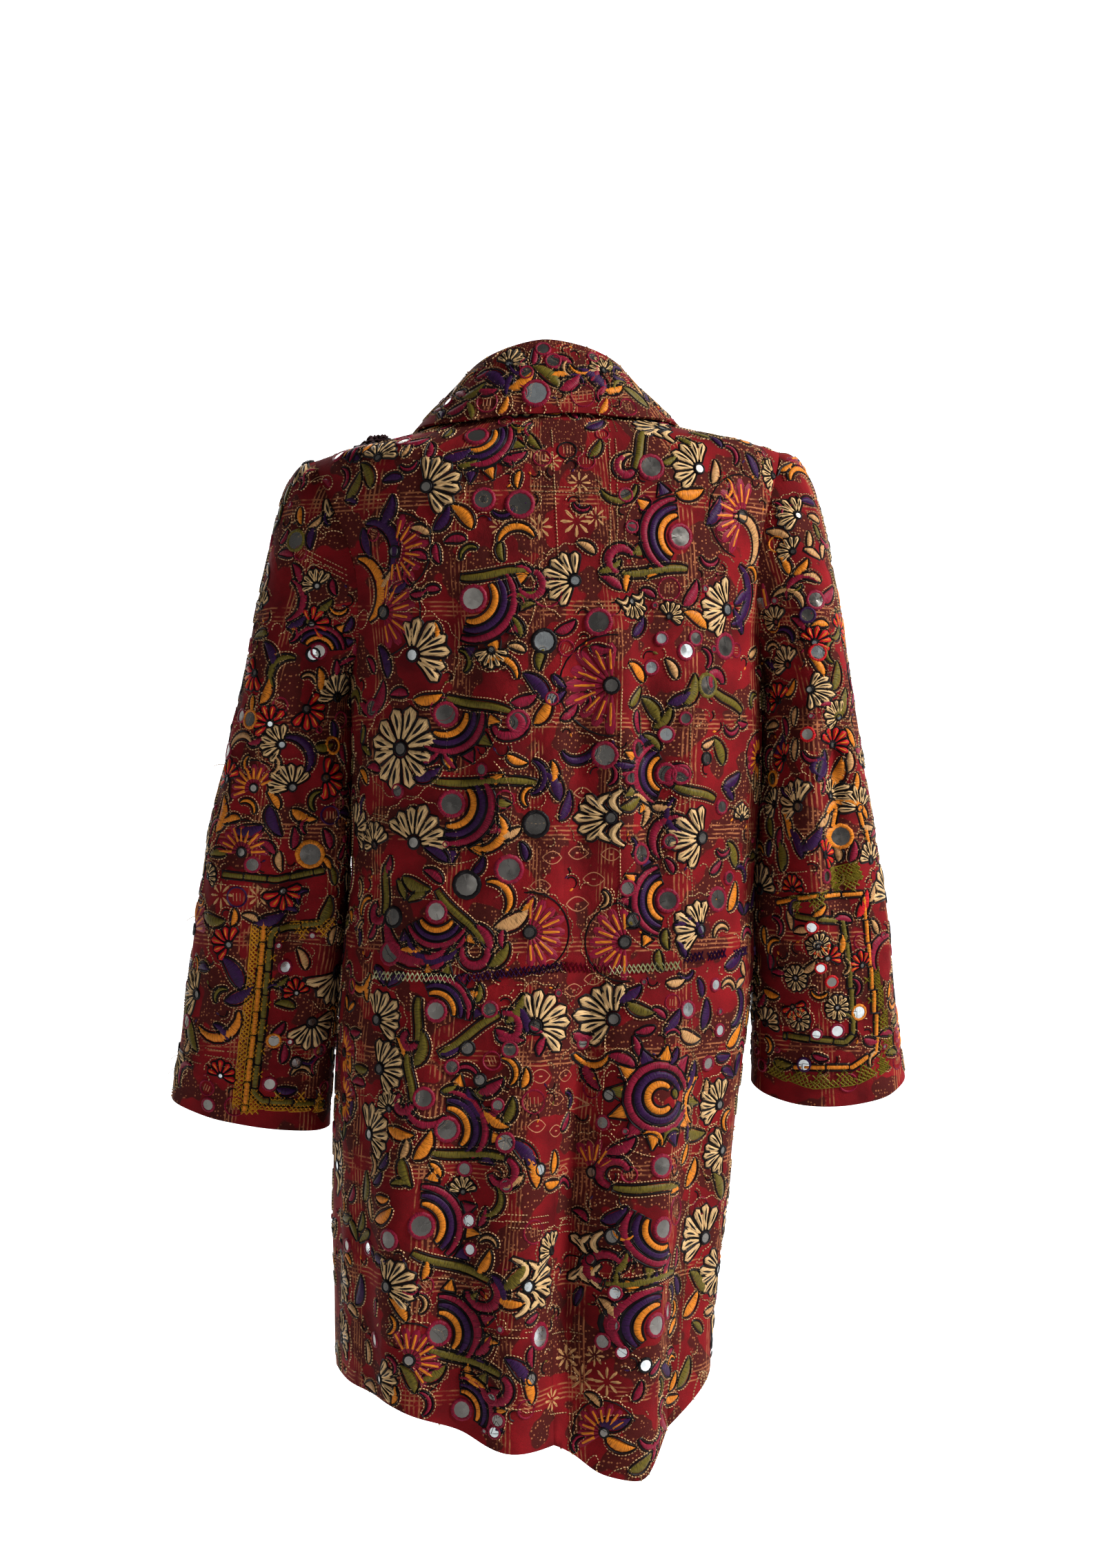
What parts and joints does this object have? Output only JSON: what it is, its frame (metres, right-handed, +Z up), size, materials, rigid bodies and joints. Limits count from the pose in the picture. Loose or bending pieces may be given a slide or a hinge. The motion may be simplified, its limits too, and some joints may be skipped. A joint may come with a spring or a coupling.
{
  "type": "embroidered coat",
  "caption": "Knee-length tailored coat in its worn form: turned-down collar, flared set-in sleeves, waist seam and dense floral embroidery with small mirrors.",
  "frame": {"origin": "middle of the neck base, where the wearer's shoulders carry the coat", "axes": "+Z up, +Y towards the coat's back, +X towards the wearer's left"},
  "size_m": [0.6346, 0.2849, 0.9289],
  "materials": {
    "madder_cotton": "printed madder red cotton, embroidered all over",
    "dark_horn": "dark horn-like button",
    "plum_cotton": "dark plum cotton, ragged edge"
  },
  "bodies": {
    "root": {"back_upper_left": "madder_cotton", "side_upper_left": "madder_cotton", "front_upper_left": "madder_cotton", "back_lower_left": "madder_cotton", "side_lower_left": "madder_cotton", "front_lower_left": "madder_cotton", "sleeve_left": "madder_cotton", "lapel_left": "madder_cotton", "back_upper_right": "madder_cotton", "side_upper_right": "madder_cotton", "front_upper_right": "madder_cotton", "back_lower_right": "madder_cotton", "side_lower_right": "madder_cotton", "front_lower_right": "madder_cotton", "sleeve_right": "madder_cotton", "lapel_right": "madder_cotton", "collar": "madder_cotton", "button_1": "dark_horn", "button_2": "dark_horn", "shoulder_rosette": "plum_cotton"}
  },
  "joints": []
}
